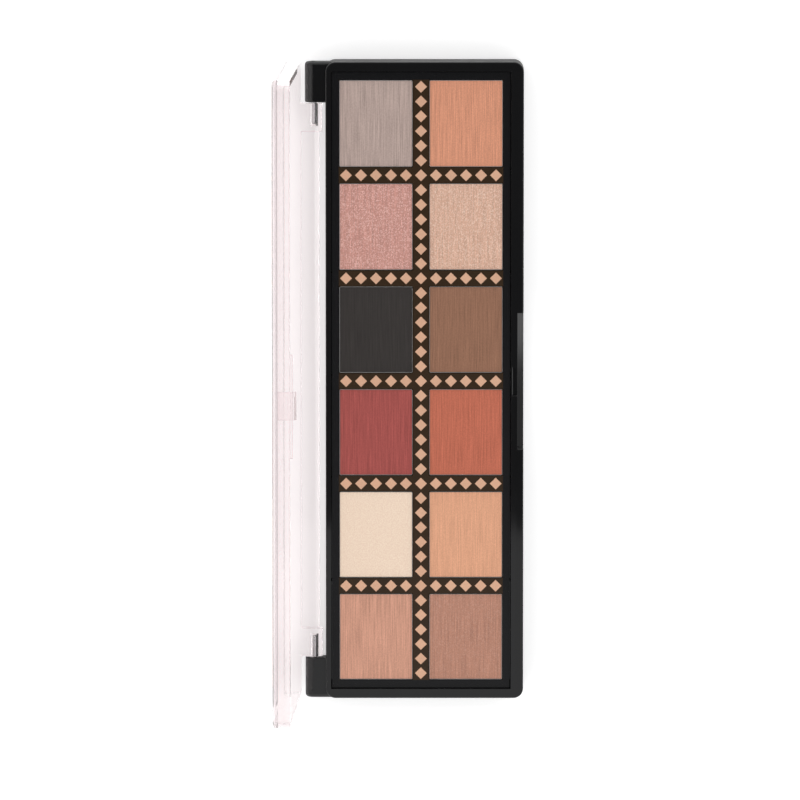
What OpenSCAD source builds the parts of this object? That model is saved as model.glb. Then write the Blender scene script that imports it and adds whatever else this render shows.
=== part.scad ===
// Eyeshadow palette: a slim hinged compact with twelve pressed powders in two columns of six.
// A glossy base holds a matt tray, the tray holds the pans, and a clear lid turns on two steel pins.
// +X runs along the palette, +Y points to the hinge and +Z is up.
// The origin is the middle of the base's underside. Millimetres.

/* [Pans] */
// Length of a pan's window in the tray, along the palette
window_length = 25.2; // [18:0.1:32]
// Depth of a pan's window, across the palette
window_depth = 21.3; // [18:0.1:28]
// Corner radius of a window
window_r = 0.5; // [0.2:0.1:2]
// Gap between a pan and its window, on each side
pan_gap = 0.1; // [0.05:0.05:0.3]
// Height of a pan
pan_height = 3.8; // [2.5:0.1:4.2]
// Thickness of a pan's metal
pan_metal = 0.2; // [0.2:0.05:0.5]
// How far a pan's rim lies under the tray's face
pan_drop = 0.25; // [0.1:0.05:0.5]
// How far the pressed powder lies under its pan's rim
powder_drop = 0.15; // [0:0.05:0.5]
// Radius of a pan's glue dot
glue_r = 4; // [2:0.5:8]
// Thickness of a glue dot
glue_thickness = 0.15; // [0.1:0.05:0.3]

/* [Tray] */
// Width of the ribs between the windows
rib_width = 4.5; // [4:0.1:8]
// Width of the tray's face beyond the windows, at each end
tray_end_margin = 2.2; // [1.5:0.1:6]
// Width of the tray's face beyond the windows, along each side
tray_side_margin = 2; // [1.5:0.1:6]
// Thickness under the pans
tray_floor = 1; // [0.8:0.1:1.2]
// Gap between the tray and the base's walls
tray_gap = 0.3; // [0.1:0.05:0.5]
// How far the tray's face lies under the base's rim
tray_drop = 1; // [0.5:0.1:1.3]

/* [Foil] */
// Size of a foil diamond, from point to point
diamond_size = 3.45; // [2:0.05:3.9]
// Thickness of the stamped foil
foil_thickness = 0.05; // [0.04:0.01:0.1]

/* [Base] */
// Height of the base, from its underside to its rim
base_height = 11; // [9.4:0.1:14]
// Thickness of the floor
base_floor = 1.6; // [1.2:0.1:2]
// Thickness of the end walls
end_wall = 2.65; // [2:0.05:4]
// Thickness of the front wall, which holds the catch
front_wall = 3.6; // [3.4:0.05:5]
// Thickness of the rear wall
rear_wall = 1.5; // [1.2:0.05:3]
// Radius of the corners, seen from above
corner_r = 2.8; // [1.8:0.1:5]
// Radius of the edge round the underside
foot_edge_r = 1.2; // [0.4:0.1:1.5]
// Radius of the edge round the rim
rim_edge_r = 0.3; // [0.1:0.05:0.6]
// Thickness of the ribs that carry the tray
support_rib = 1.2; // [0.8:0.1:2]
// Length of the label on the underside
label_length = 60; // [30:1:70]
// Gap between the label's recess and the middle of the underside
label_offset = 15; // [5:1:20]
// Depth of the label
label_depth = 28; // [15:1:40]
// Thickness of the label
label_thickness = 0.1; // [0.05:0.01:0.15]
// Depth of the recess that the label is stuck in
label_recess = 0.25; // [0.2:0.05:0.4]

/* [Hinge] */
// How far the hinge's axis lies behind the base's rear wall
hinge_reach = 3.4; // [3.1:0.1:5]
// How far the hinge's axis lies under the base's rim
hinge_drop = 3.5; // [3:0.1:4]
// Radius of the base's knuckles and the lid's bosses
barrel_r = 2.5; // [2.1:0.1:2.7]
// Length of a knuckle
knuckle_length = 11.7; // [8:0.1:20]
// Radius of the edge round a knuckle's outer end
knuckle_edge_r = 1; // [0.3:0.1:1.5]
// Gap between a knuckle and the lid's boss
knuckle_gap = 0.3; // [0.1:0.05:0.6]
// Length of a boss
boss_length = 8.2; // [7:0.1:16]
// Radius of the slimmer bar between the bosses
bar_r = 1.7; // [1:0.1:2.1]
// Diameter of a hinge pin
pin_d = 1.6; // [0.8:0.1:2]
// How far a pin reaches into its boss
pin_reach = 6; // [4:0.1:6.5]
// How far a pin's outer end lies inside its knuckle
pin_recess = 0.3; // [0:0.1:1]
// Gap between a pin and its bore in the lid, on the radius
pin_clearance = 0.05; // [0.02:0.01:0.1]
// Interference between a pin and its bore in the knuckle, on the radius
pin_interference = 0.01; // [0:0.005:0.02]

/* [Lid] */
// Height of the lid, from its rim to its outer face
lid_height = 5.2; // [4:0.1:9]
// Thickness of the lid's panel
lid_panel = 1.6; // [1.2:0.1:2.4]
// Thickness of the lid's front and end walls
lid_wall = 1.7; // [1.2:0.1:2.4]
// Radius of the edge round the lid's outer face
lid_edge_r = 1.2; // [0.3:0.1:1.5]
// Radius of the edge round the lid's rim
lid_rim_edge_r = 0.2; // [0.1:0.05:0.4]
// Gap between the closed lid's rim and the base's
rim_gap = 0.1; // [0.05:0.05:0.3]
// How far the lid stands open at rest
lid_open = 92.5; // [45:0.5:120]

/* [Latch] */
// Length of the thumb recess in the front wall
recess_length = 39.5; // [34:0.5:60]
// Depth of the recess into the wall
recess_depth = 1.75; // [1.2:0.05:2]
// Height of the recess, down from the rim
recess_height = 4.5; // [3:0.1:6]
// How steeply the recess's floor slopes down to the front
recess_slope = 12; // [0:1:20]
// Length of the lid's thumb lip
lip_length = 29.5; // [20:0.5:32]
// How far the lip hangs under the lid's rim
lip_drop = 0.85; // [0.4:0.05:2]
// Thickness of the lip
lip_thickness = 1.2; // [0.8:0.1:1.4]
// Length of the lid's hook
hook_length = 8; // [5:0.5:16]
// How far the hook hangs under the lid's rim
hook_drop = 1.75; // [1.4:0.05:2.4]
// Thickness of the hook
hook_thickness = 1; // [0.7:0.05:1.1]
// Gap round the hook in its slot
hook_gap = 0.25; // [0.2:0.05:0.4]
// Radius of the bead on the hook and of the nib that holds it
bead_r = 0.3; // [0.25:0.05:0.4]
// How far the bead and the nib stand out
bead_stand = 0.17; // [0.13:0.01:0.19]

/* [Hidden] */
// Name and colour of each powder, from the +X end, first the hinge's column and then the front's
SHADES = [
    ["taupe", "#AF9D95"], ["apricot", "#D19377"],
    ["rose", "#C7968A"], ["champagne", "#D4AE99"],
    ["charcoal", "#3B3735"], ["cocoa", "#916B57"],
    ["brick", "#A2534F"], ["terracotta", "#BD6C57"],
    ["ivory", "#F3D5C1"], ["peach", "#DFA484"],
    ["dusty_rose", "#CB9883"], ["mauve", "#B68773"]
];
$fn = 48;
eps = 0.01;

// The windows' grid
rows = 6;
columns = 2;
row_pitch = window_length + rib_width;
column_pitch = window_depth + rib_width;

// The tray, and the pocket in the base that it drops into
tray_length = (rows - 1) * row_pitch + window_length + 2 * tray_end_margin;
tray_depth = (columns - 1) * column_pitch + window_depth + 2 * tray_side_margin;
well_depth = pan_height + glue_thickness + pan_drop;
tray_height = well_depth + tray_floor;
tray_top = base_height - tray_drop;
tray_bottom = tray_top - tray_height;
well_floor = tray_top - well_depth;
pocket_length = tray_length + 2 * tray_gap;
pocket_depth = tray_depth + 2 * tray_gap;

// The base's outline, with the tray's middle off the base's because the front wall is the thicker
palette_length = pocket_length + 2 * end_wall;
palette_depth = pocket_depth + front_wall + rear_wall;
front_y = -palette_depth / 2;
rear_y = palette_depth / 2;
tray_y = front_y + front_wall + pocket_depth / 2;

// The label, with its recess clear of the middle of the underside
label_r = 1;
label_gap = 0.5;
label_x = -label_offset - label_gap - label_length / 2;

// The pans and the powders
pan_length = window_length - 2 * pan_gap;
pan_depth = window_depth - 2 * pan_gap;
pan_bottom = well_floor + glue_thickness;
powder_length = pan_length - 2 * pan_metal;
powder_depth = pan_depth - 2 * pan_metal;
powder_bottom = pan_bottom + pan_metal;
powder_top = pan_bottom + pan_height - powder_drop;

// The foil: whole numbers of diamonds to a pitch, so that the two runs share one where they cross
diamonds_per_row = 7;
diamonds_per_column = 6;
diamond_step_x = row_pitch / diamonds_per_row;
diamond_step_y = column_pitch / diamonds_per_column;
diamonds_along = floor((tray_length / 2 - tray_end_margin - diamond_size / 2) / diamond_step_x);
diamonds_across = floor((tray_depth / 2 - tray_side_margin - diamond_size / 2) / diamond_step_y);

// The hinge, with its pins' bores
hinge_y = rear_y + hinge_reach;
hinge_z = base_height - hinge_drop;
bar_end = palette_length / 2 - knuckle_length - knuckle_gap;
pin_end = bar_end - pin_reach;
bore_end = pin_end - 0.5;
pin_outer_end = palette_length / 2 - pin_recess;
pin_point = 0.3;

// The lid, drawn closed
lid_bottom = base_height + rim_gap;
lid_depth = hinge_y + barrel_r - front_y;
lid_y = front_y + lid_depth / 2;
cavity_rear = hinge_y - barrel_r;

// The latch, with the slot behind the recess that takes the hook
recess_y = front_y + recess_depth;
hook_front = recess_y + hook_gap;
hook_rear = hook_front + hook_thickness;
slot_rear = hook_rear + hook_gap;
slot_drop = hook_drop - rim_gap + hook_gap;
bead_z = lid_bottom - hook_drop + bead_r;
nib_z = bead_z + 2 * bead_r;

// Where window i lies, counted as the shades are
function window_x(i) = ((rows - 1) / 2 - floor(i / columns)) * row_pitch;
function window_y(i) = tray_y + ((columns - 1) / 2 - i % columns) * column_pitch;

// Half outline of a plate's edge, as [distance in from the side, height], with both edges rounded
function edge_outline(height, low_r, high_r, steps = 4) = concat(
    [for (i = [0:steps]) let (a = 90 * i / steps) [low_r * (1 - sin(a)), low_r * (1 - cos(a))]],
    [for (i = [0:steps]) let (a = 90 * i / steps)
        [high_r * (1 - cos(a)), height - high_r * (1 - sin(a))]]
);

// The section of such a plate that is width wide
module edge_section(width, outline) {
    last = len(outline) - 1;
    polygon(concat(
        [for (point = outline) [width / 2 - point[0], point[1]]],
        [for (i = [last:-1:0]) [outline[i][0] - width / 2, outline[i][1]]]
    ));
}

// A round post with the same edges, standing on z = 0
module post(r, height, outline) {
    rotate_extrude()
        polygon(concat(
            [[0, 0]],
            [for (point = outline) [r - point[0], point[1]]],
            [[0, height]]
        ));
}

// A plate with rounded corners and rounded edges, standing on z = 0
module rounded_plate(length, depth, height, corner, low_r, high_r) {
    outline = edge_outline(height, low_r, high_r);
    rotate([90, 0, 90])
        linear_extrude(length - 2 * corner, center = true)
            edge_section(depth, outline);
    rotate([90, 0, 0])
        linear_extrude(depth - 2 * corner, center = true)
            edge_section(length, outline);
    for (x = [-1, 1], y = [-1, 1])
        translate([x * (length / 2 - corner), y * (depth / 2 - corner), 0])
            post(corner, height, outline);
}

// A rectangle with rounded corners, drawn flat
module rounded_rectangle(length, depth, corner) {
    square([length - 2 * corner, depth], center = true);
    square([length, depth - 2 * corner], center = true);
    for (x = [-1, 1], y = [-1, 1])
        translate([x * (length / 2 - corner), y * (depth / 2 - corner)])
            circle(corner);
}

// A box between two corners
module box_between(low, high) {
    translate(low)
        cube(high - low);
}

// A rod along X between two places on the line at y, z
module rod_along_x(x_low, x_high, r, y, z) {
    translate([x_low, y, z])
        rotate([0, 90, 0])
            cylinder(h = x_high - x_low, r = r);
}

// The knuckle at the +X end: a barrel, and the lug that joins it to the base's rear corner
module knuckle() {
    outline = edge_outline(knuckle_length, rim_edge_r, knuckle_edge_r);
    lug_front = rear_y - corner_r;
    translate([palette_length / 2 - knuckle_length, hinge_y, hinge_z])
        rotate([0, 90, 0])
            post(barrel_r, knuckle_length, outline);
    translate([palette_length / 2 - knuckle_length, lug_front, hinge_z])
        rotate([-90, -90, 0])
            linear_extrude(hinge_y - lug_front)
                edge_section(2 * barrel_r, outline);
}

module support_ribs() {
    for (i = [1:rows - 1])
        box_between(
            [(i - rows / 2) * row_pitch - support_rib / 2, tray_y - pocket_depth / 2 - eps, base_floor - eps],
            [(i - rows / 2) * row_pitch + support_rib / 2, tray_y + pocket_depth / 2 + eps, tray_bottom]
        );
    box_between(
        [-pocket_length / 2 - eps, tray_y - support_rib / 2, base_floor - eps],
        [pocket_length / 2 + eps, tray_y + support_rib / 2, tray_bottom]
    );
}

// The space of the thumb recess, with its sloping floor
module recess_space() {
    recess_floor = base_height - recess_height;
    rotate([90, 0, 90])
        linear_extrude(recess_length, center = true)
            polygon([
                [recess_y, recess_floor],
                [recess_y, base_height + 1],
                [front_y - 1, base_height + 1],
                [front_y - 1, recess_floor - (recess_depth + 1) * tan(recess_slope)]
            ]);
}

// The snap nib on the catch slot's rear wall
module nib() {
    intersection() {
        rod_along_x(-hook_length / 2, hook_length / 2, bead_r, slot_rear + bead_r - bead_stand, nib_z);
        box_between(
            [-hook_length / 2, hook_rear, lid_bottom - hook_drop],
            [hook_length / 2, slot_rear + eps, base_height]
        );
    }
}

module base_shell() {
    color("#141414") {
        difference() {
            union() {
                rounded_plate(palette_length, palette_depth, base_height, corner_r, foot_edge_r, rim_edge_r);
                knuckle();
                mirror([1, 0, 0])
                    knuckle();
            }
            box_between(
                [-pocket_length / 2, tray_y - pocket_depth / 2, base_floor],
                [pocket_length / 2, tray_y + pocket_depth / 2, base_height + 1]
            );
            recess_space();
            box_between(
                [-hook_length / 2 - hook_gap, recess_y - eps, base_height - slot_drop],
                [hook_length / 2 + hook_gap, slot_rear, base_height + 1]
            );
            translate([label_x, 0, -1])
                linear_extrude(label_recess + 1)
                    rounded_rectangle(
                        label_length + 2 * label_gap, label_depth + 2 * label_gap, label_r + label_gap
                    );
            for (side = [0, 1])
                mirror([side, 0, 0])
                    rod_along_x(
                        palette_length / 2 - knuckle_length - 1, palette_length / 2 + 1,
                        pin_d / 2 - pin_interference, hinge_y, hinge_z
                    );
        }
        support_ribs();
        nib();
    }
}

module base_label() {
    color("#E9E7E3")
    translate([label_x, 0, label_recess - label_thickness])
        linear_extrude(label_thickness)
            rounded_rectangle(label_length, label_depth, label_r);
}

module inner_tray() {
    color("#1B1917")
    difference() {
        box_between(
            [-tray_length / 2, tray_y - tray_depth / 2, tray_bottom],
            [tray_length / 2, tray_y + tray_depth / 2, tray_top]
        );
        for (i = [0:len(SHADES) - 1])
            translate([window_x(i), window_y(i), well_floor])
                linear_extrude(well_depth + 1)
                    rounded_rectangle(window_length, window_depth, window_r);
    }
}

module diamond(x, y) {
    half = diamond_size / 2;
    translate([x, y, tray_top])
        linear_extrude(foil_thickness)
            polygon([[half, 0], [0, half], [-half, 0], [0, -half]]);
}

module diamond_foil() {
    color("#CE9A73") {
        for (i = [-diamonds_along:diamonds_along])
            diamond(i * diamond_step_x, tray_y);
        for (rib = [1:rows - 1], i = [-diamonds_across:diamonds_across])
            if (i != 0)
                diamond((rib - rows / 2) * row_pitch, tray_y + i * diamond_step_y);
    }
}

module glue_dots() {
    color("#D8D2BE")
    for (i = [0:len(SHADES) - 1])
        translate([window_x(i), window_y(i), well_floor])
            cylinder(h = glue_thickness, r = glue_r);
}

module pan(i) {
    color("#BFC0C2")
    translate([window_x(i), window_y(i), pan_bottom])
        difference() {
            linear_extrude(pan_height)
                rounded_rectangle(pan_length, pan_depth, window_r);
            translate([0, 0, pan_metal])
                linear_extrude(pan_height)
                    rounded_rectangle(powder_length, powder_depth, window_r / 2);
        }
}

module powder(i) {
    color(SHADES[i][1])
    translate([window_x(i), window_y(i), powder_bottom])
        linear_extrude(powder_top - powder_bottom)
            rounded_rectangle(powder_length, powder_depth, window_r / 2);
}

// The pin at the +X end, with a pointed inner end
module hinge_pin() {
    color("#B9BBBE") {
        rod_along_x(pin_end + pin_point, pin_outer_end, pin_d / 2, hinge_y, hinge_z);
        translate([pin_end, hinge_y, hinge_z])
            rotate([0, 90, 0])
                cylinder(h = pin_point, r1 = pin_d / 2 - pin_point, r2 = pin_d / 2);
    }
}

// One end of the hinge's bar, from the middle out, with the boss that turns on the pin
module half_bar() {
    rod_along_x(-eps, bar_end, bar_r, hinge_y, hinge_z);
    box_between([-eps, hinge_y - bar_r, hinge_z], [bar_end, hinge_y + bar_r, lid_bottom + lid_rim_edge_r]);
    rod_along_x(bar_end - boss_length, bar_end, barrel_r, hinge_y, hinge_z);
    box_between(
        [bar_end - boss_length, hinge_y - barrel_r, hinge_z],
        [bar_end, hinge_y + barrel_r, lid_bottom + lid_edge_r]
    );
}

module hook() {
    box_between(
        [-hook_length / 2, hook_front, lid_bottom - hook_drop],
        [hook_length / 2, hook_rear, lid_bottom + lid_height - lid_panel + eps]
    );
    rod_along_x(-hook_length / 2, hook_length / 2, bead_r, hook_rear - bead_r + bead_stand, bead_z);
}

module closed_lid() {
    difference() {
        union() {
            difference() {
                translate([0, lid_y, lid_bottom])
                    rounded_plate(
                        palette_length, lid_depth, lid_height, corner_r, lid_rim_edge_r, lid_edge_r
                    );
                box_between(
                    [-palette_length / 2 + lid_wall, front_y + lid_wall, lid_bottom - 1],
                    [palette_length / 2 - lid_wall, cavity_rear, lid_bottom + lid_height - lid_panel]
                );
            }
            half_bar();
            mirror([1, 0, 0])
                half_bar();
            hook();
            box_between(
                [-lip_length / 2, front_y + lid_rim_edge_r, lid_bottom - lip_drop],
                [lip_length / 2, front_y + lid_rim_edge_r + lip_thickness, lid_bottom + lid_rim_edge_r]
            );
        }
        for (side = [0, 1])
            mirror([side, 0, 0])
                rod_along_x(bore_end, bar_end + 1, pin_d / 2 + pin_clearance, hinge_y, hinge_z);
    }
}

module lid() {
    color("#EBDDE0", 0.35)
    translate([0, hinge_y, hinge_z])
        rotate([-lid_open, 0, 0])
            translate([0, -hinge_y, -hinge_z])
                closed_lid();
}

base_shell();
base_label();
inner_tray();
diamond_foil();
glue_dots();
mirror([1, 0, 0]) hinge_pin();  // hinge_pin_left
hinge_pin();  // hinge_pin_right
lid();
for (i = [0:len(SHADES) - 1]) {
    pan(i);
    powder(i);
}
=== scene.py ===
"""Eyeshadow palette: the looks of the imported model, piece by piece as the palette is put together.

The base lies flat with its length along X. The hinge is on its +Y side, and the clear lid stands open
there.
"""

import math

import bmesh
import bpy
from mathutils import Matrix, Vector


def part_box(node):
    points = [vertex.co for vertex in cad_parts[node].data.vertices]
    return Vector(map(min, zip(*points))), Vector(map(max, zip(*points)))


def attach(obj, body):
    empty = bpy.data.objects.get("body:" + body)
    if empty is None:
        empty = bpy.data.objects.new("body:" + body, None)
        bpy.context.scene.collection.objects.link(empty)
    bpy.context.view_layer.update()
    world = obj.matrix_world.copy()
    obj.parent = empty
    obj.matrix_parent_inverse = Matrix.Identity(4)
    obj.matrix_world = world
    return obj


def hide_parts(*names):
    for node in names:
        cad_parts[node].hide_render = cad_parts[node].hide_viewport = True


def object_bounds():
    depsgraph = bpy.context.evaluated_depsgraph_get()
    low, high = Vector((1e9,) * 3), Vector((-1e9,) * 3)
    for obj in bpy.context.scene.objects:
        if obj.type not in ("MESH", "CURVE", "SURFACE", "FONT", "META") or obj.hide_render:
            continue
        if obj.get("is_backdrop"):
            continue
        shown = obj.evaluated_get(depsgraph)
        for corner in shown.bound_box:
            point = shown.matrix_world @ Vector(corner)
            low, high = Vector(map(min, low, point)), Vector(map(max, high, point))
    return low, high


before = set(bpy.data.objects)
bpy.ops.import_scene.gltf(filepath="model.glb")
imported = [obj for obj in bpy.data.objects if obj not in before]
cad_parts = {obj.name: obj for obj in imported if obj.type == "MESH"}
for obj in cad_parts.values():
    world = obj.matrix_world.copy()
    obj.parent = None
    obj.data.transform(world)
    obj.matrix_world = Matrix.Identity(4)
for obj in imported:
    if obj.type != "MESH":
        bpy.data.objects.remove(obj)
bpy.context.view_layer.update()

MM = 0.001


# ---- The base -------------------------------------------------------------------------------------
# One injection moulding in polished black plastic: a shallow pocket for the tray, two hinge knuckles
# at the rear, and a thumb recess with the catch slot in the front wall. Its edges come out of the
# mould a little soft.

BASE_EDGE = 0.14 * MM
BASE_BLACK = (0.0034, 0.0034, 0.0036)
BASE_POLISH = (0.025, 0.055)
BASE_SATIN = (0.48, 0.58)
MERGE_GAP = 0.002 * MM
FLAT_WITHIN = math.radians(0.6)
SHARP_FROM = math.radians(32)


def node_in(tree, kind, inputs=(), **settings):
    """A node in a shader or geometry tree, with its settings and its inputs, given by name or number."""
    made = tree.nodes.new(kind)
    for name, value in settings.items():
        setattr(made, name, value)
    for name, value in dict(inputs).items():
        if isinstance(value, bpy.types.NodeSocket):
            tree.links.new(value, made.inputs[name])
        else:
            made.inputs[name].default_value = value
    return made


def finish_named(name, **sockets):
    """A new material, its tree and its Principled shader, with the constants on the shader's sockets."""
    material = bpy.data.materials.new(name)
    material.use_nodes = True
    tree = material.node_tree
    shader = tree.nodes["Principled BSDF"]
    for socket, value in sockets.items():
        shader.inputs[socket.replace("_", " ")].default_value = value
    return material, tree, shader


def noise_at(tree, scale, stretch=(1, 1, 1), detail=3.0, roughness=0.5, offset=(0, 0, 0)):
    """Noise from 0 to 1 on the piece's own coordinates, in cycles per metre, stretched along its axes."""
    place = node_in(tree, "ShaderNodeTexCoord").outputs["Object"]
    moved = node_in(tree, "ShaderNodeMapping", {"Vector": place, "Location": offset, "Scale": stretch})
    return node_in(
        tree, "ShaderNodeTexNoise",
        {"Vector": moved.outputs[0], "Scale": scale, "Detail": detail, "Roughness": roughness},
    ).outputs["Fac"]


def spread(tree, value, low, high, old_low=0.3, old_high=0.7):
    """Maps a 0 to 1 pattern onto low to high, clamped at both ends."""
    return node_in(
        tree, "ShaderNodeMapRange",
        {"Value": value, "From Min": old_low, "From Max": old_high, "To Min": low, "To Max": high},
    ).outputs[0]


def blend_of(tree, factor, first, second):
    """A colour between first and second, each a colour or a socket."""
    def four(colour):
        return colour if isinstance(colour, bpy.types.NodeSocket) else (*colour, 1)
    mixed = node_in(tree, "ShaderNodeMix", {0: factor, 6: four(first), 7: four(second)}, data_type="RGBA")
    return mixed.outputs[2]


def toned(colour, share):
    """A colour made lighter or darker by a share, no lighter than white."""
    return tuple(min(1.0, share * part) for part in colour)


def relief(tree, shader, height, depth, strength=1.0):
    """Bump on a shader, with the height pattern's depth in metres."""
    bump = node_in(tree, "ShaderNodeBump", {"Height": height, "Distance": depth, "Strength": strength})
    tree.links.new(bump.outputs[0], shader.inputs["Normal"])


def moulded(node, name, edge, body, material, segments=2):
    """A merged copy of a CAD node with its sharp edges rounded, which stands for that node."""
    form = bmesh.new()
    form.from_mesh(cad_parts[node].data)
    bmesh.ops.remove_doubles(form, verts=form.verts, dist=MERGE_GAP)
    bmesh.ops.dissolve_limit(form, angle_limit=FLAT_WITHIN, verts=form.verts, edges=form.edges)
    mesh = bpy.data.meshes.new(name)
    form.to_mesh(mesh)
    form.free()
    mesh.materials.clear()
    mesh.materials.append(material)
    for face in mesh.polygons:
        face.material_index = 0
        face.use_smooth = True
    mesh.set_sharp_from_angle(angle=SHARP_FROM)
    piece = bpy.data.objects.new(name, mesh)
    bpy.context.scene.collection.objects.link(piece)
    soft = piece.modifiers.new("soft edges", "BEVEL")
    soft.width = edge
    soft.segments = segments
    soft.limit_method = "ANGLE"
    soft.angle_limit = SHARP_FROM
    soft.use_clamp_overlap = True
    level = piece.modifiers.new("level faces", "WEIGHTED_NORMAL")
    level.weight = 100
    level.keep_sharp = True
    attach(piece, body)
    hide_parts(node)
    return piece


def polished_black():
    """Black plastic, polished on top and satin on its walls, with faint handling marks and waviness."""
    material, tree, shader = finish_named("polished black plastic", IOR=1.52)
    tint = blend_of(tree, noise_at(tree, 900), BASE_BLACK, toned(BASE_BLACK, 1.6))
    tree.links.new(tint, shader.inputs["Base Color"])
    handled = noise_at(tree, 60, stretch=(1, 2.2, 1), detail=6, roughness=0.62)
    normal = node_in(tree, "ShaderNodeTexCoord").outputs["Normal"]
    facing = node_in(tree, "ShaderNodeSeparateXYZ", {0: normal})
    upright = node_in(tree, "ShaderNodeMath", {0: facing.outputs[2]}, operation="ABSOLUTE").outputs[0]
    side = spread(tree, upright, 1.0, 0.0, 0.35, 0.7)
    sheen = node_in(
        tree, "ShaderNodeMix",
        {0: side, 2: spread(tree, handled, *BASE_POLISH), 3: spread(tree, handled, *BASE_SATIN)},
    ).outputs[0]
    tree.links.new(sheen, shader.inputs["Roughness"])
    relief(tree, shader, noise_at(tree, 160, detail=2), 0.006 * MM, 0.35)
    return material


base = moulded("base_shell", "base_moulding", BASE_EDGE, "base", polished_black())


# ---- The label ------------------------------------------------------------------------------------
# A blank coated-paper sticker in a shallow recess of the underside.

LABEL_PAPER = ((0.78, 0.77, 0.74), (0.70, 0.69, 0.66))


def coated_paper():
    """Off-white paper with short fibres and a dull coating."""
    material, tree, shader = finish_named("coated paper", Roughness=0.6)
    fibres = noise_at(tree, 3500, stretch=(1, 0.25, 1), detail=5)
    tree.links.new(blend_of(tree, fibres, *LABEL_PAPER), shader.inputs["Base Color"])
    relief(tree, shader, fibres, 0.01 * MM, 0.4)
    return material


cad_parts["base_label"].data.materials.clear()
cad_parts["base_label"].data.materials.append(coated_paper())


# ---- The tray -------------------------------------------------------------------------------------
# A matt moulding dropped into the base, with twelve wells. The ribs between the wells carry a dark
# bronze print under the foil; the face outside them is plain black.

TRAY_EDGE = 0.1 * MM
TRAY_BLACK = (0.0050, 0.0050, 0.0056)
RIB_BRONZE = (0.030, 0.0165, 0.0075)

SHADES = [name[len("powder_"):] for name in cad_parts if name.startswith("powder_")]
window_boxes = [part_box("pan_" + shade) for shade in SHADES]
field_low = Vector([min(low[i] for low, _ in window_boxes) for i in range(3)])
field_high = Vector([max(high[i] for _, high in window_boxes) for i in range(3)])
field_middle = (field_low + field_high) / 2
PRINT_MARGIN = 0.1 * MM


def maths(tree, operation, *values):
    """One step of arithmetic in a shader or geometry tree."""
    return node_in(tree, "ShaderNodeMath", dict(enumerate(values)), operation=operation).outputs[0]


def printed_matt():
    """Matt black plastic with a mould's grain, overprinted in dark bronze where the pans stand."""
    material, tree, shader = finish_named("matt black tray", IOR=1.45, Specular_IOR_Level=0.35)
    place = node_in(tree, "ShaderNodeTexCoord").outputs["Object"]
    split = node_in(tree, "ShaderNodeSeparateXYZ", {0: place})
    inside = None
    for axis in (0, 1):
        half = (field_high[axis] - field_low[axis]) / 2 + PRINT_MARGIN
        away = maths(tree, "ABSOLUTE", maths(tree, "SUBTRACT", split.outputs[axis], field_middle[axis]))
        within = maths(tree, "LESS_THAN", away, half)
        inside = within if inside is None else maths(tree, "MULTIPLY", inside, within)
    ink = blend_of(tree, noise_at(tree, 700), RIB_BRONZE, toned(RIB_BRONZE, 1.25))
    black = blend_of(tree, noise_at(tree, 500), TRAY_BLACK, toned(TRAY_BLACK, 1.4))
    tree.links.new(blend_of(tree, inside, black, ink), shader.inputs["Base Color"])
    grain = noise_at(tree, 5000, detail=4)
    tree.links.new(spread(tree, grain, 0.16, 0.26), shader.inputs["Roughness"])
    relief(tree, shader, grain, 0.004 * MM, 0.4)
    return material


tray = moulded("inner_tray", "pan_tray", TRAY_EDGE, "base", printed_matt())


# ---- The foil diamonds ----------------------------------------------------------------------------
# Rose-gold foil, hot-stamped onto the ribs as a run of diamonds along the middle and one across each
# rib. Both runs share the diamond where they cross.

FOIL_BEVEL = 0.05 * MM
FOIL_PEACH = ((0.70, 0.415, 0.275), (0.86, 0.515, 0.345))
FOIL_REFLECTION_TONES = (0.75, 1.25)
FOIL_SEED = 11
ON_AXIS = 0.1 * MM
ROWS = 6
PER_ROW = 7
PER_COLUMN = 6
ACROSS = 5
ALONG = 20
foil_low, foil_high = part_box("diamond_foil")
first_pan, second_pan, third_pan = (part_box("pan_" + shade) for shade in ("taupe", "apricot", "rose"))
row_pitch = first_pan[0].x - third_pan[0].x
column_pitch = first_pan[0].y - second_pan[0].y
diamond_step = Vector((row_pitch / PER_ROW, column_pitch / PER_COLUMN, 0))
diamond_size = (foil_high.x - foil_low.x) - 2 * ALONG * diamond_step.x


def stamped_foil():
    """Metallised foil with a satin grain. Each diamond is painted a slightly different tone, as a painted
    reflection.
    """
    material, tree, shader = finish_named("rose gold foil", Metallic=0.55, Roughness=0.42)
    tone = node_in(tree, "ShaderNodeAttribute", attribute_name="tone").outputs["Fac"]
    grain = noise_at(tree, 2600, detail=5, roughness=0.6)
    peach = blend_of(tree, spread(tree, maths(tree, "MULTIPLY", tone, grain), 0, 1, 0, 0.6), *FOIL_PEACH)
    tree.links.new(peach, shader.inputs["Base Color"])
    relief(tree, shader, grain, 0.004 * MM, 0.5)
    return material


def group_with(name, *inputs):
    """A new geometry tree with named float, integer or vector inputs, its input node and its output."""
    tree = bpy.data.node_groups.new(name, "GeometryNodeTree")
    for label, kind in inputs:
        tree.interface.new_socket(label, in_out="INPUT", socket_type="NodeSocket" + kind)
    tree.interface.new_socket("Geometry", in_out="OUTPUT", socket_type="NodeSocketGeometry")
    return tree, node_in(tree, "NodeGroupInput"), node_in(tree, "NodeGroupOutput")


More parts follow.
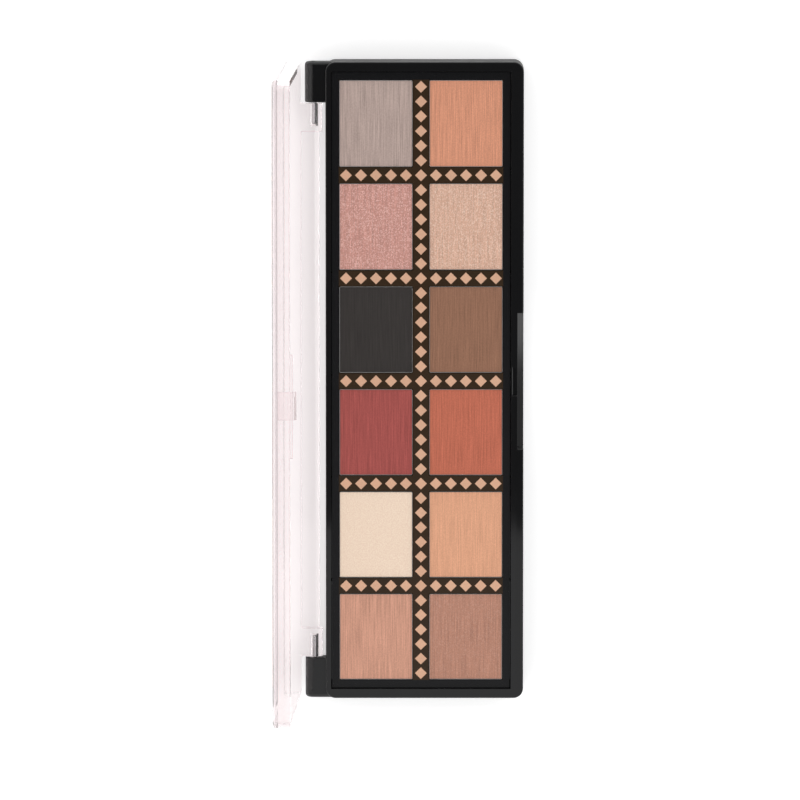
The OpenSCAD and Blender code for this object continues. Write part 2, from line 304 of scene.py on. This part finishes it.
def grown(tree, name, **values):
    """The plain mesh that a geometry tree makes with these input values, as a new object."""
    holder = bpy.data.objects.new(name + " maker", bpy.data.meshes.new(name + " maker"))
    bpy.context.scene.collection.objects.link(holder)
    maker = holder.modifiers.new("maker", "NODES")
    maker.node_group = tree
    sockets = {item.name: item.identifier for item in tree.interface.items_tree if item.in_out == "INPUT"}
    for label, value in values.items():
        maker[sockets[label.replace("_", " ")]] = value
    bpy.context.view_layer.update()
    graph = bpy.context.evaluated_depsgraph_get()
    mesh = bpy.data.meshes.new_from_object(holder.evaluated_get(graph), depsgraph=graph)
    holder.modifiers.remove(maker)
    bpy.data.objects.remove(holder)
    mesh.name = name
    piece = bpy.data.objects.new(name, mesh)
    bpy.context.scene.collection.objects.link(piece)
    return piece


def diamond_runs(material):
    """Geometry tree: one bevelled diamond on each point of a long run and of a grid of cross runs."""
    tree, given, result = group_with(
        "diamond runs", ("Step", "Vector"), ("Middle", "Vector"), ("Row Pitch", "Float"), ("Rows", "Int"),
        ("Along", "Int"), ("Across", "Int"), ("Size", "Float"), ("Thickness", "Float"), ("Bevel", "Float"),
    )
    get = given.outputs
    step = node_in(tree, "ShaderNodeSeparateXYZ", {0: get["Step"]})
    along = maths(tree, "MULTIPLY", get["Along"], step.outputs[0])
    step_x = node_in(tree, "ShaderNodeCombineXYZ", {0: step.outputs[0]})
    start_x = node_in(tree, "ShaderNodeCombineXYZ", {0: maths(tree, "MULTIPLY", along, -1.0)})
    long_run = node_in(
        tree, "GeometryNodeMeshLine",
        {
            "Count": maths(tree, "MULTIPLY_ADD", get["Along"], 2.0, 1.0),
            "Start Location": start_x.outputs[0], "Offset": step_x.outputs[0],
        },
    )
    cross_runs = node_in(
        tree, "GeometryNodeMeshGrid",
        {
            "Size X": maths(tree, "MULTIPLY", maths(tree, "SUBTRACT", get["Rows"], 2.0), get["Row Pitch"]),
            "Size Y": maths(tree, "MULTIPLY", maths(tree, "MULTIPLY", get["Across"], 2.0), step.outputs[1]),
            "Vertices X": maths(tree, "SUBTRACT", get["Rows"], 1.0),
            "Vertices Y": maths(tree, "MULTIPLY_ADD", get["Across"], 2.0, 1.0),
        },
    )
    place = node_in(tree, "GeometryNodeInputPosition").outputs[0]
    across = node_in(tree, "ShaderNodeSeparateXYZ", {0: place}).outputs[1]
    shared = maths(tree, "LESS_THAN", maths(tree, "ABSOLUTE", across), ON_AXIS)
    outer_runs = node_in(
        tree, "GeometryNodeDeleteGeometry",
        {"Geometry": cross_runs.outputs["Mesh"], "Selection": shared}, domain="POINT", mode="ALL",
    )
    points = node_in(tree, "GeometryNodeJoinGeometry")
    tree.links.new(long_run.outputs[0], points.inputs[0])
    tree.links.new(outer_runs.outputs[0], points.inputs[0])
    radius = maths(tree, "DIVIDE", get["Size"], 2.0)
    diamond = node_in(
        tree, "GeometryNodeMeshCone",
        {
            "Vertices": 4, "Radius Top": maths(tree, "SUBTRACT", radius, get["Bevel"]),
            "Radius Bottom": radius, "Depth": get["Thickness"],
        },
    )
    stamped = node_in(
        tree, "GeometryNodeInstanceOnPoints", {"Points": points.outputs[0], "Instance": diamond.outputs[0]}
    )
    # Each diamond gets a random tone: a painted reflection, lighter or darker as if it caught the light
    # differently.
    tone = node_in(
        tree, "FunctionNodeRandomValue", {2: FOIL_REFLECTION_TONES[0], 3: FOIL_REFLECTION_TONES[1], "Seed": FOIL_SEED},
        data_type="FLOAT",
    )
    marked = node_in(
        tree, "GeometryNodeStoreNamedAttribute",
        {"Geometry": stamped.outputs[0], "Name": "tone", "Value": tone.outputs[1]},
        data_type="FLOAT", domain="INSTANCE",
    )
    moved = node_in(
        tree, "GeometryNodeTranslateInstances", {0: marked.outputs[0], "Translation": get["Middle"]}
    )
    real = node_in(tree, "GeometryNodeRealizeInstances", {0: moved.outputs[0]})
    painted = node_in(tree, "GeometryNodeSetMaterial", {0: real.outputs[0], "Material": material})
    tree.links.new(painted.outputs[0], result.inputs[0])
    return tree


foil = grown(
    diamond_runs(stamped_foil()), "foil_diamonds", Step=diamond_step,
    Middle=Vector((0, (foil_low.y + foil_high.y) / 2, foil_low.z)), Row_Pitch=row_pitch, Rows=ROWS,
    Along=ALONG, Across=ACROSS, Size=diamond_size, Thickness=foil_high.z - foil_low.z, Bevel=FOIL_BEVEL,
)
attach(foil, "base")
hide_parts("diamond_foil")


# ---- The pans -------------------------------------------------------------------------------------
# Twelve shallow pans pressed from thin aluminium. Each is held in its well by a dot of hot-melt glue,
# and only its thin rim shows round the powder.

PAN_EDGE = 0.08 * MM
PAN_METAL = ((0.30, 0.295, 0.29), (0.42, 0.415, 0.41))
GLUE_TINT = ((0.72, 0.69, 0.58), (0.80, 0.77, 0.68))


def pressed_aluminium():
    """Aluminium with fine marks from the press, its rim dulled by a film of powder."""
    material, tree, shader = finish_named("pressed aluminium", Metallic=1.0)
    drawn = noise_at(tree, 2200, stretch=(1, 1, 6), detail=4)
    tree.links.new(blend_of(tree, drawn, *PAN_METAL), shader.inputs["Base Color"])
    tree.links.new(spread(tree, drawn, 0.28, 0.42), shader.inputs["Roughness"])
    relief(tree, shader, drawn, 0.003 * MM, 0.4)
    return material


def hot_melt():
    """Milky glue with a soft, uneven surface."""
    material, tree, shader = finish_named("hot-melt glue", Roughness=0.45, Subsurface_Weight=0.2)
    tree.links.new(blend_of(tree, noise_at(tree, 700), *GLUE_TINT), shader.inputs["Base Color"])
    relief(tree, shader, noise_at(tree, 900), 0.05 * MM, 0.5)
    return material


pan_metal = pressed_aluminium()
for shade in SHADES:
    moulded("pan_" + shade, shade + "_pan", PAN_EDGE, "base", pan_metal)
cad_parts["glue_dots"].data.materials.clear()
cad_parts["glue_dots"].data.materials.append(hot_melt())


# ---- The powders ----------------------------------------------------------------------------------
# Pigment and talc pressed into the pans under a woven cloth, which leaves fine broken ribs along the
# palette, with painted light and shade along them. Rose and champagne also hold mica flakes, with
# painted glints and painted shade, and mauve holds a few.

POWDER_COLOURS = {
    "taupe": (0.475, 0.365, 0.325), "apricot": (0.70, 0.31, 0.192),
    "rose": (0.60, 0.30, 0.25), "champagne": (0.71, 0.435, 0.32),
    "charcoal": (0.037, 0.032, 0.030), "cocoa": (0.305, 0.152, 0.094),
    "brick": (0.39, 0.087, 0.077), "terracotta": (0.55, 0.156, 0.094),
    "ivory": (0.98, 0.75, 0.585), "peach": (0.80, 0.40, 0.245),
    "dusty_rose": (0.66, 0.34, 0.24), "mauve": (0.50, 0.245, 0.17),
}
SHADE_SWING = 0.38
CLOTH_SHADE_SHARE = 0.3
SPECK_SHARE = 0.35
SPECK_TONES = (0.6, 1.4)
MICA_PER_METRE = 4200.0
SHIMMER = {"rose": 1.0, "champagne": 0.8, "mauve": 0.25}
CAKE_POINTS = (91, 221)
CLOTH_PITCH = 0.97 * MM
CLOTH_WANDER = 1.2
CLOTH_DEPTH = 0.06 * MM
STREAK_DEPTH = 2.2
SHOULDER = 0.35 * MM
SHOULDER_FALL = 0.45
PAN_PLAY = 0.02 * MM


def powder_cake(material):
    """Geometry tree: a closed cake whose face has the cloth's ribs and whose edge rolls down to the pan."""
    tree, given, result = group_with(
        "powder cake", ("Middle", "Vector"), ("Length", "Float"), ("Depth", "Float"), ("Height", "Float"),
        ("Cloth Pitch", "Float"), ("Cloth Depth", "Float"), ("Shoulder", "Float"), ("Seed", "Float"),
    )
    get = given.outputs
    face = node_in(
        tree, "GeometryNodeMeshGrid",
        {
            "Size X": get["Length"], "Size Y": get["Depth"],
            "Vertices X": CAKE_POINTS[0], "Vertices Y": CAKE_POINTS[1],
        },
    ).outputs["Mesh"]
    place = node_in(tree, "GeometryNodeInputPosition").outputs[0]
    split = node_in(tree, "ShaderNodeSeparateXYZ", {0: place})

    def pattern(scale_x, scale_y, detail):
        stretched = node_in(
            tree, "ShaderNodeVectorMath", {0: place, 1: (scale_x, scale_y, 1)}, operation="MULTIPLY"
        ).outputs[0]
        return node_in(
            tree, "ShaderNodeTexNoise",
            {"Vector": stretched, "W": get["Seed"], "Scale": 1.0, "Detail": detail}, noise_dimensions="4D",
        ).outputs[0]

    most = maths(tree, "MULTIPLY", get["Cloth Pitch"], CLOTH_WANDER)
    wander = maths(tree, "MULTIPLY", pattern(45, 70, 1), most)
    turn = maths(tree, "DIVIDE", maths(tree, "ADD", split.outputs[1], wander), get["Cloth Pitch"])
    rib = maths(tree, "SINE", maths(tree, "MULTIPLY", turn, 2 * math.pi))
    broken = node_in(
        tree, "ShaderNodeMapRange", {"Value": pattern(420, 900, 2), "From Min": 0.35, "From Max": 0.65}
    ).outputs[0]
    streak = maths(tree, "SUBTRACT", pattern(110, 1700, 3), 0.5)
    cloth_rise = maths(tree, "MULTIPLY", get["Cloth Depth"], 0.5)
    streak_rise = maths(tree, "MULTIPLY", get["Cloth Depth"], STREAK_DEPTH)
    relief_height = maths(
        tree, "MULTIPLY_ADD", maths(tree, "MULTIPLY", rib, broken), cloth_rise,
        maths(tree, "MULTIPLY", streak, streak_rise),
    )
    near_edge = None
    for axis, size in ((0, "Length"), (1, "Depth")):
        half = maths(tree, "DIVIDE", get[size], 2.0)
        gap = maths(tree, "SUBTRACT", half, maths(tree, "ABSOLUTE", split.outputs[axis]))
        near_edge = gap if near_edge is None else maths(tree, "MINIMUM", near_edge, gap)
    rolled = node_in(
        tree, "ShaderNodeMapRange",
        {"Value": near_edge, "From Min": 0.0, "From Max": get["Shoulder"], "To Min": 1.0, "To Max": 0.0},
    ).outputs[0]
    furthest = maths(tree, "MULTIPLY", get["Shoulder"], -SHOULDER_FALL)
    fall = maths(tree, "MULTIPLY", maths(tree, "POWER", rolled, 2.0), furthest)
    top = maths(tree, "ADD", maths(tree, "SUBTRACT", relief_height, get["Cloth Depth"]), fall)
    rise = maths(tree, "DIVIDE", relief_height, get["Cloth Depth"])
    noted = node_in(
        tree, "GeometryNodeStoreNamedAttribute", {"Geometry": face, "Name": "cloth", "Value": rise},
        data_type="FLOAT", domain="POINT",
    ).outputs[0]
    raised = node_in(
        tree, "GeometryNodeSetPosition",
        {"Geometry": noted, "Offset": node_in(tree, "ShaderNodeCombineXYZ", {2: top}).outputs[0]},
    ).outputs[0]
    rim = node_in(
        tree, "FunctionNodeCompare",
        {2: node_in(tree, "GeometryNodeInputMeshEdgeNeighbors").outputs[0], 3: 1},
        data_type="INT", operation="EQUAL",
    ).outputs[0]
    loop = node_in(tree, "GeometryNodeMeshToCurve", {"Mesh": raised, "Selection": rim}).outputs[0]
    foot_height = maths(tree, "MULTIPLY", get["Height"], -1.0)
    foot_place = node_in(
        tree, "ShaderNodeCombineXYZ", {0: split.outputs[0], 1: split.outputs[1], 2: foot_height}
    ).outputs[0]
    foot_loop = node_in(
        tree, "GeometryNodeSetPosition", {"Geometry": loop, "Position": foot_place}
    ).outputs[0]
    foot = node_in(tree, "GeometryNodeFillCurve", {"Curve": foot_loop}, mode="NGONS").outputs[0]
    foot_down = node_in(tree, "GeometryNodeFlipFaces", {"Mesh": foot}).outputs[0]
    skirt = node_in(
        tree, "GeometryNodeExtrudeMesh",
        {"Mesh": raised, "Selection": rim, "Offset": (0, 0, 0), "Offset Scale": 0.0}, mode="EDGES",
    )
    lowered = node_in(
        tree, "GeometryNodeSetPosition",
        {"Geometry": skirt.outputs["Mesh"], "Selection": skirt.outputs["Top"], "Position": foot_place},
    ).outputs[0]
    shell = node_in(tree, "GeometryNodeJoinGeometry")
    tree.links.new(lowered, shell.inputs[0])
    tree.links.new(foot_down, shell.inputs[0])
    closed = node_in(
        tree, "GeometryNodeMergeByDistance", {"Geometry": shell.outputs[0], "Distance": MERGE_GAP}
    )
    moved = node_in(
        tree, "GeometryNodeTransform", {"Geometry": closed.outputs[0], "Translation": get["Middle"]}
    )
    smooth = node_in(tree, "GeometryNodeSetShadeSmooth", {"Geometry": moved.outputs[0]})
    real = node_in(tree, "GeometryNodeRealizeInstances", {0: smooth.outputs[0]})
    painted = node_in(tree, "GeometryNodeSetMaterial", {0: real.outputs[0], "Material": material})
    tree.links.new(painted.outputs[0], result.inputs[0])
    return tree


def pressed_powder(shade, seed):
    """Dull pigment with painted light and shade on the cloth's ribs, fine grain and, in some shades,
    painted mica glints.
    """
    colour = POWDER_COLOURS[shade]
    mica = SHIMMER.get(shade, 0.0)
    material, tree, shader = finish_named(
        "pressed powder " + shade, IOR=1.45, Specular_IOR_Level=0.25, Sheen_Weight=0.05, Sheen_Roughness=0.6
    )
    offset = (0.37 * seed, 0.53 * seed, 0.0)
    streak_shade = noise_at(tree, 1.0, stretch=(90, 3300, 1), detail=2, roughness=0.5, offset=offset)
    grain = noise_at(tree, 3000, detail=4, roughness=0.7, offset=offset)
    cloud = noise_at(tree, 110, detail=3, offset=offset)
    # The pale and deep tones are painted light on the crests of the cloth's ribs and streaks and painted
    # shade in their furrows.
    swing = min(SHADE_SWING, 1.0 / max(colour) - 1.0)
    pale, deep = toned(colour, 1 + swing), toned(colour, 1 - swing)
    cloth = node_in(tree, "ShaderNodeAttribute", attribute_name="cloth").outputs["Fac"]
    both = maths(tree, "MULTIPLY_ADD", cloth, CLOTH_SHADE_SHARE, streak_shade)
    tone = blend_of(tree, spread(tree, both, 0, 1, 0.25, 0.75), deep, pale)
    tone = blend_of(tree, spread(tree, cloud, 0, 0.25), tone, colour)
    dark_speck, light_speck = (toned(colour, share) for share in SPECK_TONES)
    speck = blend_of(tree, spread(tree, grain, 0, 1, 0.4, 0.75), dark_speck, light_speck)
    tone = blend_of(tree, SPECK_SHARE, tone, speck)
    roughness = spread(tree, grain, 0.7, 0.95)
    if mica:
        place = node_in(tree, "ShaderNodeTexCoord").outputs["Object"]
        flakes = node_in(tree, "ShaderNodeTexVoronoi", {"Vector": place, "Scale": MICA_PER_METRE})
        flake = node_in(tree, "ShaderNodeSeparateColor", {0: flakes.outputs["Color"]}).outputs[0]
        # The brightest flakes are painted lighter, as painted glints, and the dimmest darker, as painted
        # shade; the flakes are also made glossier.
        painted_glint = spread(tree, flake, 0.0, 0.55 * mica, 0.62, 1.0)
        tone = blend_of(tree, painted_glint, tone, tuple(min(1.0, 0.35 + 1.1 * c) for c in colour))
        shade_side = spread(tree, flake, 0.35 * mica, 0.0, 0.0, 0.35)
        tone = blend_of(tree, shade_side, tone, toned(colour, 0.55))
        roughness = spread(tree, flake, 0.75, 0.32, 0.55, 1.0)
    tree.links.new(tone, shader.inputs["Base Color"])
    tree.links.new(roughness, shader.inputs["Roughness"])
    relief(tree, shader, grain, 0.03 * MM, 0.6)
    return material


for number, shade in enumerate(SHADES):
    low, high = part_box("powder_" + shade)
    cake = grown(
        powder_cake(pressed_powder(shade, number + 1)), shade + "_powder",
        Middle=Vector(((low.x + high.x) / 2, (low.y + high.y) / 2, high.z)),
        Length=high.x - low.x - 2 * PAN_PLAY, Depth=high.y - low.y - 2 * PAN_PLAY,
        Height=high.z - low.z, Cloth_Pitch=CLOTH_PITCH, Cloth_Depth=CLOTH_DEPTH, Shoulder=SHOULDER,
        Seed=1.7 * number,
    )
    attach(cake, "base")
    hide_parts("powder_" + shade)


# ---- The hinge pins -------------------------------------------------------------------------------
# Two lengths of drawn steel wire, pressed into the knuckles from the ends, on which the lid's bosses
# turn. The inner ends are pointed to find the bores, and the outer ends are cropped and eased.

PIN_SIDES = 40
PIN_SHARP_FROM = math.radians(35)
PIN_EASE = 0.12 * MM
PIN_POINT = 0.3 * MM
PIN_STEEL = ((0.42, 0.42, 0.43), (0.56, 0.56, 0.57))


def drawn_steel():
    """Steel wire with fine lines drawn along it."""
    material, tree, shader = finish_named("drawn steel wire", Metallic=1.0)
    lines = noise_at(tree, 1.0, stretch=(300, 9000, 9000), detail=4)
    tree.links.new(blend_of(tree, lines, *PIN_STEEL), shader.inputs["Base Color"])
    tree.links.new(spread(tree, lines, 0.22, 0.36), shader.inputs["Roughness"])
    relief(tree, shader, lines, 0.003 * MM, 0.5)
    return material


def turned_wire(name, outline, centre, material):
    """A closed turned shape about a line along X. outline is [(x, radius)], from one end to the other."""
    form = bmesh.new()
    rings = []
    for x, radius in outline:
        ring = []
        for side in range(PIN_SIDES):
            angle = 2 * math.pi * side / PIN_SIDES
            y, z = centre.y + radius * math.cos(angle), centre.z + radius * math.sin(angle)
            ring.append(form.verts.new((x, y, z)))
        rings.append(ring)
    for ring, following in zip(rings, rings[1:]):
        for side in range(PIN_SIDES):
            after = (side + 1) % PIN_SIDES
            form.faces.new((ring[side], ring[after], following[after], following[side]))
    form.faces.new(rings[0])
    form.faces.new(rings[-1])
    bmesh.ops.recalc_face_normals(form, faces=form.faces)
    mesh = bpy.data.meshes.new(name)
    form.to_mesh(mesh)
    form.free()
    for face in mesh.polygons:
        face.use_smooth = True
    mesh.set_sharp_from_angle(angle=PIN_SHARP_FROM)
    mesh.materials.append(material)
    piece = bpy.data.objects.new(name, mesh)
    bpy.context.scene.collection.objects.link(piece)
    return piece


pin_steel = drawn_steel()
for side, outward in (("left", -1), ("right", 1)):
    low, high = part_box("hinge_pin_" + side)
    radius = (high.y - low.y) / 2
    outer, inner = (high.x, low.x) if outward > 0 else (low.x, high.x)
    pin = turned_wire(
        "pin_wire_" + side,
        [
            (inner, radius - PIN_POINT), (inner + outward * 0.35 * PIN_POINT, radius - 0.45 * PIN_POINT),
            (inner + outward * PIN_POINT, radius), (outer - outward * PIN_EASE, radius),
            (outer - outward * 0.3 * PIN_EASE, radius - 0.3 * PIN_EASE), (outer, radius - PIN_EASE),
        ],
        (low + high) / 2, pin_steel,
    )
    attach(pin, "base")
    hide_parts("hinge_pin_" + side)


# ---- The lid --------------------------------------------------------------------------------------
# One clear moulding with a faint pink cast: a panel with a wall round it, two bosses and a bar that
# make the hinge, and a thumb lip and a hook at the free edge. It turns on the pins.

LID_EDGE = 0.16 * MM
LID_TINT = ((0.958, 0.914, 0.916), (0.972, 0.931, 0.933))
LID_EDGE_SHADE = (0.80, 0.73, 0.75)
LID_EDGE_DEPTH = 0.7 * MM
LID_PASSING = (0.995, 0.982, 0.982)
LID_BODY = (0.62, 0.47, 0.50)
LID_DENSITY = 7.0
LID_GLASS_DEPTH = (1.0, 3.0)


def clear_pink():
    """Clear polished plastic, faintly pink and more so where it is thick, with painted shade along its
    edges.

    Lamps' light and soft light pass straight through, and so, increasingly, does what has already
    gone through a surface or two.
    """
    material, tree, shader = finish_named(
        "clear pink plastic", Transmission_Weight=1.0, IOR=1.5, Specular_IOR_Level=0.4
    )
    rounded = node_in(tree, "ShaderNodeBevel", {"Radius": LID_EDGE_DEPTH}, samples=6).outputs[0]
    flat = node_in(tree, "ShaderNodeNewGeometry").outputs["Normal"]
    level = node_in(tree, "ShaderNodeVectorMath", {0: rounded, 1: flat}, operation="DOT_PRODUCT")
    # Near the rounded edges the colour turns to a darker pink: painted shade along the edges.
    near_edge = spread(tree, level.outputs["Value"], 1, 0, 0.7, 0.995)
    clear = blend_of(tree, noise_at(tree, 40), *LID_TINT)
    tree.links.new(blend_of(tree, near_edge, clear, LID_EDGE_SHADE), shader.inputs["Base Color"])
    tree.links.new(spread(tree, noise_at(tree, 90, detail=5), 0.01, 0.04), shader.inputs["Roughness"])
    relief(tree, shader, noise_at(tree, 120, detail=2), 0.004 * MM, 0.3)
    path = node_in(tree, "ShaderNodeLightPath").outputs
    straight = spread(tree, path["Ray Depth"], 0, 1, *LID_GLASS_DEPTH)
    for kind in ("Is Shadow Ray", "Is Diffuse Ray"):
        straight = maths(tree, "MAXIMUM", path[kind], straight)
    passing = node_in(tree, "ShaderNodeBsdfTransparent", {"Color": (*LID_PASSING, 1)})
    mixed = node_in(tree, "ShaderNodeMixShader", {0: straight, 1: shader.outputs[0], 2: passing.outputs[0]})
    inside = node_in(tree, "ShaderNodeVolumeAbsorption", {"Color": (*LID_BODY, 1), "Density": LID_DENSITY})
    tree.links.new(mixed.outputs[0], tree.nodes["Material Output"].inputs["Surface"])
    tree.links.new(inside.outputs[0], tree.nodes["Material Output"].inputs["Volume"])
    return material


lid = moulded("lid", "clear_lid", LID_EDGE, "lid", clear_pink(), segments=3)


# ---- The studio -----------------------------------------------------------------------------------
# A white table, a pale room whose ceiling is dim straight overhead, and soft boxes. The camera looks
# down on the palette from a long way off.

CAMERA_AWAY = 2.7437
CAMERA_LEAN = math.radians(7.40)
CAMERA_AIM = Vector((-5.6, 7.06, 9)) * MM
CAMERA_LENS = 429.8
CAMERA_SENSOR = 36
CAMERA_REACH = 20
TABLE_WHITE = ((0.93, 0.93, 0.93), (0.95, 0.95, 0.95))
TABLE_GLOW = 0.36
TABLE_TOP = -0.03 * MM
TABLE_HALF = 3
ROOM_WALLS = (0.985, 0.985, 0.985)
ROOM_CEILING = (0.10, 0.10, 0.105)
CEILING_DIMS = (0.875, 0.915)


def soft_box(name, place, aim, size, brightness):
    """A rectangular lamp that faces its aim and looks as bright as a white card in that much light."""
    lamp = bpy.data.lights.new(name, "AREA")
    lamp.shape = "RECTANGLE"
    lamp.size, lamp.size_y = size
    lamp.energy = brightness * math.pi * size[0] * size[1]
    holder = bpy.data.objects.new(name, lamp)
    bpy.context.scene.collection.objects.link(holder)
    away = Vector(place) - Vector(aim)
    holder.matrix_world = Matrix.Translation(place) @ away.to_track_quat("Z", "Y").to_matrix().to_4x4()
    return holder


def white_table():
    """A white light-table top: smooth, with a barely visible grain and a faint glow."""
    material, tree, shader = finish_named(
        "white table", Roughness=0.7, Specular_IOR_Level=0.2, Emission_Color=(1, 1, 1, 1),
        Emission_Strength=TABLE_GLOW,
    )
    tree.links.new(blend_of(tree, noise_at(tree, 30), *TABLE_WHITE), shader.inputs["Base Color"])
    return material


def pale_room():
    """A room with bright walls that dims towards the middle of its ceiling."""
    world = bpy.data.worlds.new("pale room")
    bpy.context.scene.world = world
    world.use_nodes = True
    tree = world.node_tree
    way = node_in(tree, "ShaderNodeTexCoord").outputs["Generated"]
    height = node_in(tree, "ShaderNodeSeparateXYZ", {0: way}).outputs[2]
    dim = spread(tree, height, 0.0, 1.0, *CEILING_DIMS)
    tree.links.new(blend_of(tree, dim, ROOM_WALLS, ROOM_CEILING), tree.nodes["Background"].inputs["Color"])


table_mesh = bpy.data.meshes.new("table top")
corners = [(x * TABLE_HALF, y * TABLE_HALF, TABLE_TOP) for x, y in ((-1, -1), (1, -1), (1, 1), (-1, 1))]
table_mesh.from_pydata(corners, [], [(0, 1, 2, 3)])
table_mesh.materials.append(white_table())
table = bpy.data.objects.new("table_top", table_mesh)
bpy.context.scene.collection.objects.link(table)
table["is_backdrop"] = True

pale_room()
soft_box("end card", (-0.755, 0.0, 1.5), (-0.755, 0.0, 0), (1.0, 1.6), 0.60)
soft_box("front box", (0.29, -0.95, 1.5), (0.29, -0.95, 0), (0.98, 0.8), 1.55)

camera = bpy.data.objects.new("camera", bpy.data.cameras.new("camera"))
bpy.context.scene.collection.objects.link(camera)
camera.data.sensor_width = CAMERA_SENSOR
camera.data.lens = CAMERA_LENS
camera.data.clip_end = CAMERA_REACH
back = Vector((math.sin(CAMERA_LEAN), 0, math.cos(CAMERA_LEAN)))
right = Vector((0, -1, 0))
turned = Matrix((right, back.cross(right), back)).transposed().to_4x4()
camera.matrix_world = Matrix.Translation(CAMERA_AIM + CAMERA_AWAY * back) @ turned
bpy.context.scene.camera = camera
bpy.context.scene.view_settings.view_transform = "Standard"

low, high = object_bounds()
